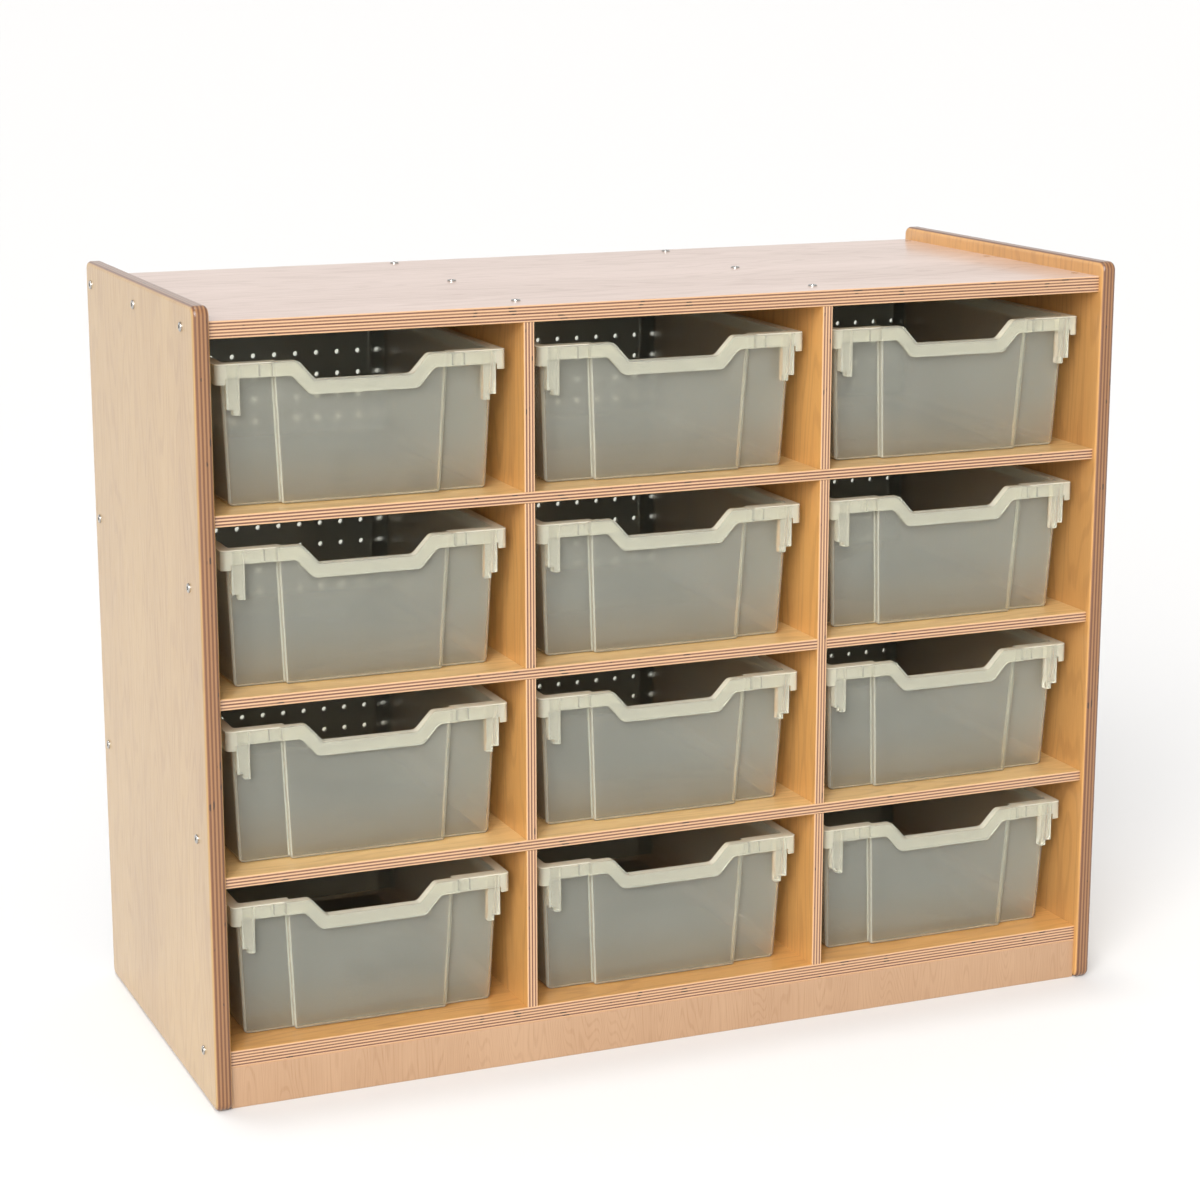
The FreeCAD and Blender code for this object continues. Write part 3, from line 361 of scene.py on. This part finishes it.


# Natural polypropylene: injection moulded in 2 mm walls. Milky grey, it blurs what lies behind it; the rim,
# ribs and lugs look whiter. Every corner where a wall is seen along its length shows as a pale line, painted:
# partly thicker plastic seen edge-on, partly painted highlight; the upward-facing rim top is a painted
# highlight, and the lowest part is painted warm as light from the shelf. Its IOR is below the plastic's usual
# 1.49, so that the room's reflection stays as faint as on the matt skin.
def natural_polypropylene(looks, node):
    material, tree, output = blank_material(f"polypropylene_{node}")
    low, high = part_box(node)
    place = add(tree, "ShaderNodeTexCoord")
    own = add(tree, "ShaderNodeVectorMath", {0: place.outputs["Object"],
                                             1: ((low.x + high.x) / 2, low.y, low.z)}, operation="SUBTRACT")
    split = add(tree, "ShaderNodeSeparateXYZ", {0: own.outputs[0]})
    aside = add(tree, "ShaderNodeMath", {0: split.outputs[0]}, operation="ABSOLUTE")

    # Rim, and the lugs and ribs under it
    collar = add(tree, "ShaderNodeMapRange", {0: split.outputs[2], 1: RIM_START, 2: RIM_FULL, 3: 0, 4: 1},
                 interpolation_type="SMOOTHSTEP")
    skirt = add(tree, "ShaderNodeMapRange", {0: split.outputs[1], 1: SKIRT_END, 2: SKIRT_FULL, 3: 0, 4: 1})
    ahead = add(tree, "ShaderNodeMath", {0: split.outputs[1], 1: LUGS_DEEP}, operation="LESS_THAN")
    outside = add(tree, "ShaderNodeMath", {0: aside.outputs[0], 1: LUGS_ASIDE}, operation="GREATER_THAN")
    lugs = add(tree, "ShaderNodeMath", {0: ahead.outputs[0], 1: outside.outputs[0]}, operation="MULTIPLY")
    band = add(tree, "ShaderNodeMath", {0: collar.outputs[0], 1: skirt.outputs[0]}, operation="MAXIMUM")
    thin_lugs = add(tree, "ShaderNodeMath", {0: lugs.outputs[0], 1: LUG_SHARE}, operation="MULTIPLY")
    white = add(tree, "ShaderNodeMath", {0: band.outputs[0], 1: thin_lugs.outputs[0]}, operation="MAXIMUM")

    # Corners: the sides of the forward panel, the tub's front corners, its foot and the top of the rim
    # The corner lines are painted pale: partly thicker plastic seen edge-on, partly painted highlight and edge
    # glow
    near = add(tree, "ShaderNodeMapRange", {0: split.outputs[1], 1: FRONT_END, 2: FRONT_FULL, 3: 0, 4: 1})
    panel_side = add(tree, "ShaderNodeMath",
                     {0: split.outputs[2], 1: -PANEL_LEAN / TRAY_HEIGHT, 2: -PANEL_HALF},
                     operation="MULTIPLY_ADD")
    from_panel = add(tree, "ShaderNodeMath", {0: aside.outputs[0], 1: panel_side.outputs[0]}, operation="ADD")
    off_panel = add(tree, "ShaderNodeMath", {0: from_panel.outputs[0]}, operation="ABSOLUTE")
    panel_line = add(tree, "ShaderNodeMapRange",
                     {0: off_panel.outputs[0], 1: PANEL_LINE_END, 2: PANEL_LINE_FULL, 3: 0, 4: 1},
                     interpolation_type="SMOOTHSTEP")
    tub_side = add(tree, "ShaderNodeMath", {0: split.outputs[2], 1: -TUB_LEAN / TRAY_HEIGHT, 2: -TUB_HALF},
                   operation="MULTIPLY_ADD")
    from_tub = add(tree, "ShaderNodeMath", {0: aside.outputs[0], 1: tub_side.outputs[0]}, operation="ADD")
    tub_line = add(tree, "ShaderNodeMapRange",
                   {0: from_tub.outputs[0], 1: TUB_LINE_END, 2: TUB_LINE_FULL, 3: 0, 4: 1},
                   interpolation_type="SMOOTHSTEP")
    foot_line = add(tree, "ShaderNodeMapRange",
                    {0: split.outputs[2], 1: FOOT_LINE_END, 2: FOOT_LINE_FULL, 3: 0, 4: 1},
                    interpolation_type="SMOOTHSTEP")
    below = add(tree, "ShaderNodeMath", {0: 1, 1: collar.outputs[0]}, operation="SUBTRACT")
    panel_edge = add(tree, "ShaderNodeMath", {0: panel_line.outputs[0], 1: below.outputs[0]},
                     operation="MULTIPLY")
    upright = add(tree, "ShaderNodeMath", {0: panel_edge.outputs[0], 1: tub_line.outputs[0]},
                  operation="MAXIMUM")
    lines = add(tree, "ShaderNodeMath", {0: upright.outputs[0], 1: foot_line.outputs[0]}, operation="MAXIMUM")
    painted_corner_lines = add(tree, "ShaderNodeMath", {0: lines.outputs[0], 1: near.outputs[0]}, operation="MULTIPLY")
    # Painted highlight: the rim's top is made paler where its surface faces upward
    surface = add(tree, "ShaderNodeNewGeometry")
    facing = add(tree, "ShaderNodeSeparateXYZ", {0: surface.outputs["Normal"]})
    upward = add(tree, "ShaderNodeMapRange", {0: facing.outputs[2], 1: UPWARD_START, 2: UPWARD_FULL,
                                              3: 0, 4: 1})
    upper = add(tree, "ShaderNodeMath", {0: split.outputs[2], 1: CREST_ABOVE}, operation="GREATER_THAN")
    painted_rim_top_highlight = add(tree, "ShaderNodeMath", {0: upward.outputs[0], 1: upper.outputs[0]}, operation="MULTIPLY")
    # Painted pale corner lines and the painted highlight on the rim top
    corners = add(tree, "ShaderNodeMath", {0: painted_corner_lines.outputs[0], 1: painted_rim_top_highlight.outputs[0]},
                  operation="MAXIMUM")

    # Haze: broad clouds in the melt
    haze = add(tree, "ShaderNodeTexNoise", {"Vector": place.outputs["Object"], "Scale": 1 / CLOUD,
                                            "Detail": 2})
    wall = add(tree, "ShaderNodeMapRange", {0: haze.outputs[0], 1: NOISE_LOW, 2: NOISE_HIGH,
                                            3: looks.wall - HAZE_SPREAD, 4: looks.wall + HAZE_SPREAD})
    thick = add(tree, "ShaderNodeMix", {"Factor": white.outputs[0], "A": wall.outputs[0], "B": looks.rim})
    pale = add(tree, "ShaderNodeMath", {0: white.outputs[0], 1: corners.outputs[0]}, operation="MAXIMUM")
    # Painted warm light: the plastic turns to the shelf's tan towards the tray's floor
    painted_shelf_light_mask = add(tree, "ShaderNodeMapRange", {0: split.outputs[2], 1: PAINTED_SHELF_LIGHT_BELOW, 2: 0, 3: 0, 4: 1},
                   interpolation_type="SMOOTHSTEP")
    plastic_with_painted_shelf_light = add(tree, "ShaderNodeMix", {"Factor": painted_shelf_light_mask.outputs[0], "A": (*looks.plastic, 1),
                                       "B": (*looks.foot, 1)}, data_type="RGBA")
    tint = add(tree, "ShaderNodeMix", {"Factor": pale.outputs[0], "A": plastic_with_painted_shelf_light.outputs["Result"],
                                       "B": (*looks.thick, 1)}, data_type="RGBA")
    clear_with_painted_lines = add(tree, "ShaderNodeMix", {"Factor": painted_corner_lines.outputs[0], "A": thick.outputs[0],
                                        "B": looks.edge})
    clear = add(tree, "ShaderNodeMix", {"Factor": painted_rim_top_highlight.outputs[0], "A": clear_with_painted_lines.outputs[0], "B": looks.painted_rim_top_highlight})
    rough = add(tree, "ShaderNodeMapRange", {0: haze.outputs[0], 1: NOISE_LOW, 2: NOISE_HIGH,
                                             3: looks.roughness - 0.02, 4: looks.roughness + 0.03})
    shader = add(tree, "ShaderNodeBsdfPrincipled", {"Base Color": tint.outputs["Result"],
                                                    "Roughness": rough.outputs[0], "IOR": 1.3,
                                                    "Transmission Weight": clear.outputs[0]})
    tree.links.new(shader.outputs[0], output.inputs[0])
    dress(node, material)


class CABINET_OT_side_panels(bpy.types.Operator):
    """Finish the two side panels, with the grain upright"""
    bl_idname = "cabinet.side_panels"
    bl_label = "Side Panels"

    def execute(self, context):
        looks = context.scene.cabinet_plywood
        left, right = SIDES
        birch_plywood(looks, left, GRAIN_UPRIGHT, (looks.outer_face_painted_shade, looks.side_inner_face_painted_bounce), 1)
        birch_plywood(looks, right, GRAIN_UPRIGHT, (looks.side_inner_face_painted_bounce, looks.outer_face_painted_shade), 2)
        return {"FINISHED"}


class CABINET_OT_end_panels(bpy.types.Operator):
    """Finish the top and bottom panels, with the grain across the cabinet"""
    bl_idname = "cabinet.end_panels"
    bl_label = "Top and Bottom"

    def execute(self, context):
        looks = context.scene.cabinet_plywood
        top, bottom = END_PANELS
        birch_plywood(looks, top, GRAIN_ACROSS, (looks.inner_face_painted_bounce, looks.top_face), 3)
        birch_plywood(looks, bottom, GRAIN_ACROSS, (looks.inner_face_painted_bounce, looks.inner_face_painted_bounce), 4)
        return {"FINISHED"}


class CABINET_OT_egg_crate(bpy.types.Operator):
    """Finish the shelves and dividers"""
    bl_idname = "cabinet.egg_crate"
    bl_label = "Shelves and Dividers"

    def execute(self, context):
        looks = context.scene.cabinet_plywood
        for seed, node in enumerate(SHELVES, 5):
            birch_plywood(looks, node, GRAIN_ACROSS, (looks.inner_face_painted_bounce, looks.shelf_top_painted_light), seed)
        for seed, node in enumerate(DIVIDERS, 8):
            birch_plywood(looks, node, GRAIN_UPRIGHT, (looks.inner_face_painted_bounce, looks.inner_face_painted_bounce), seed)
        return {"FINISHED"}


class CABINET_OT_plinths(bpy.types.Operator):
    """Finish the toe kick and rear plinth, with the grain upright"""
    bl_idname = "cabinet.plinths"
    bl_label = "Toe Kick and Plinth"

    def execute(self, context):
        looks = context.scene.cabinet_plywood
        for seed, node in enumerate(PLINTHS, 10):
            birch_plywood(looks, node, GRAIN_UPRIGHT, (looks.toe_face, looks.toe_face), seed,
                          TOE_RIDGES, TOE_FIGURE)
        return {"FINISHED"}


class CABINET_OT_pegboard(bpy.types.Operator):
    """Finish the pegboard back"""
    bl_idname = "cabinet.pegboard"
    bl_label = "Pegboard"

    def execute(self, context):
        dress("pegboard_back", tempered_hardboard(context.scene.cabinet_pegboard))
        return {"FINISHED"}


class CABINET_OT_fasteners(bpy.types.Operator):
    """Finish the bolts, screws and barrel nuts"""
    bl_idname = "cabinet.fasteners"
    bl_label = "Fasteners"

    def execute(self, context):
        plating = plated_steel(context.scene.cabinet_steel)
        for node in FASTENERS:
            dress(node, plating)
        return {"FINISHED"}


class CABINET_OT_trays(bpy.types.Operator):
    """Finish the moulded trays"""
    bl_idname = "cabinet.trays"
    bl_label = "Trays"

    def execute(self, context):
        for node in TRAYS:
            natural_polypropylene(context.scene.cabinet_trays, node)
        return {"FINISHED"}


class CABINET_OT_studio(bpy.types.Operator):
    """Set up the floor, the lights and the camera"""
    bl_idname = "cabinet.studio"
    bl_label = "Studio"

    def execute(self, context):
        looks = context.scene.cabinet_stage
        floor_mesh = bpy.data.meshes.new("floor")
        sheet = bmesh.new()
        bmesh.ops.create_grid(sheet, x_segments=1, y_segments=1, size=FLOOR_HALF)
        sheet.to_mesh(floor_mesh)
        sheet.free()
        floor = bpy.data.objects.new("floor", floor_mesh)
        context.collection.objects.link(floor)
        # Seamless paper: uncoated pulp, white and quite matt
        material, tree, output = blank_material("seamless_paper")
        place = add(tree, "ShaderNodeTexCoord")
        pulp = add(tree, "ShaderNodeTexNoise", {"Vector": place.outputs["Object"], "Scale": PAPER_PULP,
                                                "Detail": 2})
        tooth = add(tree, "ShaderNodeMapRange", {0: pulp.outputs[0], 1: NOISE_LOW, 2: NOISE_HIGH,
                                                 3: PAPER_SMOOTH, 4: PAPER_ROUGH})
        paper = add(tree, "ShaderNodeBsdfPrincipled", {
            "Base Color": (*looks.floor, 1), "Roughness": tooth.outputs[0], "Specular IOR Level": 0.1})
        tree.links.new(paper.outputs[0], output.inputs[0])
        floor_mesh.materials.append(material)

        world = bpy.data.worlds.new("surround")
        world.use_nodes = True
        room = world.node_tree
        way = add(room, "ShaderNodeTexCoord")
        height = add(room, "ShaderNodeSeparateXYZ", {0: way.outputs["Generated"]})
        shade = add(room, "ShaderNodeMapRange", {0: height.outputs[2], 1: WALLS_TOP, 2: CEILING_START,
                                                 3: looks.walls, 4: looks.ceiling},
                    interpolation_type="SMOOTHSTEP")
        room.links.new(shade.outputs[0], room.nodes["Background"].inputs["Strength"])
        room.nodes["Background"].inputs["Color"].default_value = (1, 1, 1, 1)
        context.scene.world = world

        key = bpy.data.lights.new("key", "SUN")
        key.energy = looks.key
        key.angle = looks.spread
        overhead = bpy.data.lights.new("overhead", "SUN")
        overhead.energy = looks.overhead
        overhead.angle = OVERHEAD_SPREAD
        front = bpy.data.lights.new("front", "AREA")
        front.shape = "RECTANGLE"
        front.size, front.size_y = FRONT_WIDTH, FRONT_HEIGHT
        front.energy = looks.front
        for light, position in ((key, KEY_FROM), (overhead, OVERHEAD_FROM), (front, FRONT_FROM)):
            lamp = bpy.data.objects.new(light.name, light)
            lamp.location = position
            lamp.rotation_euler = (LIT_POINT - Vector(position)).to_track_quat("-Z", "Y").to_euler()
            context.collection.objects.link(lamp)

        lens = bpy.data.cameras.new("camera")
        lens.lens = looks.focal
        lens.sensor_width = SENSOR_MM
        lens.clip_end = FAR_LIMIT
        camera = bpy.data.objects.new("camera", lens)
        back = Vector((math.sin(CAMERA_TURN) * math.cos(CAMERA_TILT),
                       -math.cos(CAMERA_TURN) * math.cos(CAMERA_TILT), math.sin(CAMERA_TILT)))
        camera.location = CAMERA_POINT + back * CAMERA_REACH
        camera.rotation_euler = (-back).to_track_quat("-Z", "Y").to_euler()
        context.collection.objects.link(camera)
        context.scene.camera = camera
        context.scene.view_settings.view_transform = "Standard"
        return {"FINISHED"}


class CABINET_PT_finishes(bpy.types.Panel):
    """Finishes of the tray cabinet"""
    bl_idname = "CABINET_PT_finishes"
    bl_label = "Tray Cabinet"
    bl_space_type = "VIEW_3D"
    bl_region_type = "UI"
    bl_category = "Cabinet"

    def draw(self, context):
        for operator in OPERATORS:
            self.layout.operator(operator.bl_idname)
        for name, group in GROUPS.items():
            box = self.layout.box()
            for key in group.__annotations__:
                box.prop(getattr(context.scene, name), key)


GROUPS = {"cabinet_plywood": PlywoodLooks, "cabinet_pegboard": PegboardLooks, "cabinet_steel": SteelLooks,
          "cabinet_trays": TrayLooks, "cabinet_stage": StageLooks}
OPERATORS = (CABINET_OT_side_panels, CABINET_OT_end_panels, CABINET_OT_egg_crate, CABINET_OT_plinths,
             CABINET_OT_pegboard, CABINET_OT_fasteners, CABINET_OT_trays, CABINET_OT_studio)


def register():
    for group in GROUPS.values():
        bpy.utils.register_class(group)
    for operator in OPERATORS:
        bpy.utils.register_class(operator)
    bpy.utils.register_class(CABINET_PT_finishes)
    for name, group in GROUPS.items():
        setattr(bpy.types.Scene, name, bpy.props.PointerProperty(type=group))


def unregister():
    for name in GROUPS:
        delattr(bpy.types.Scene, name)
    bpy.utils.unregister_class(CABINET_PT_finishes)
    for operator in reversed(OPERATORS):
        bpy.utils.unregister_class(operator)
    for group in reversed(GROUPS.values()):
        bpy.utils.unregister_class(group)


def main():
    """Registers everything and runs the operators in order."""
    register()
    for operator in OPERATORS:
        group, call = operator.bl_idname.split(".")
        getattr(getattr(bpy.ops, group), call)()


if __name__ == "__main__":
    main()
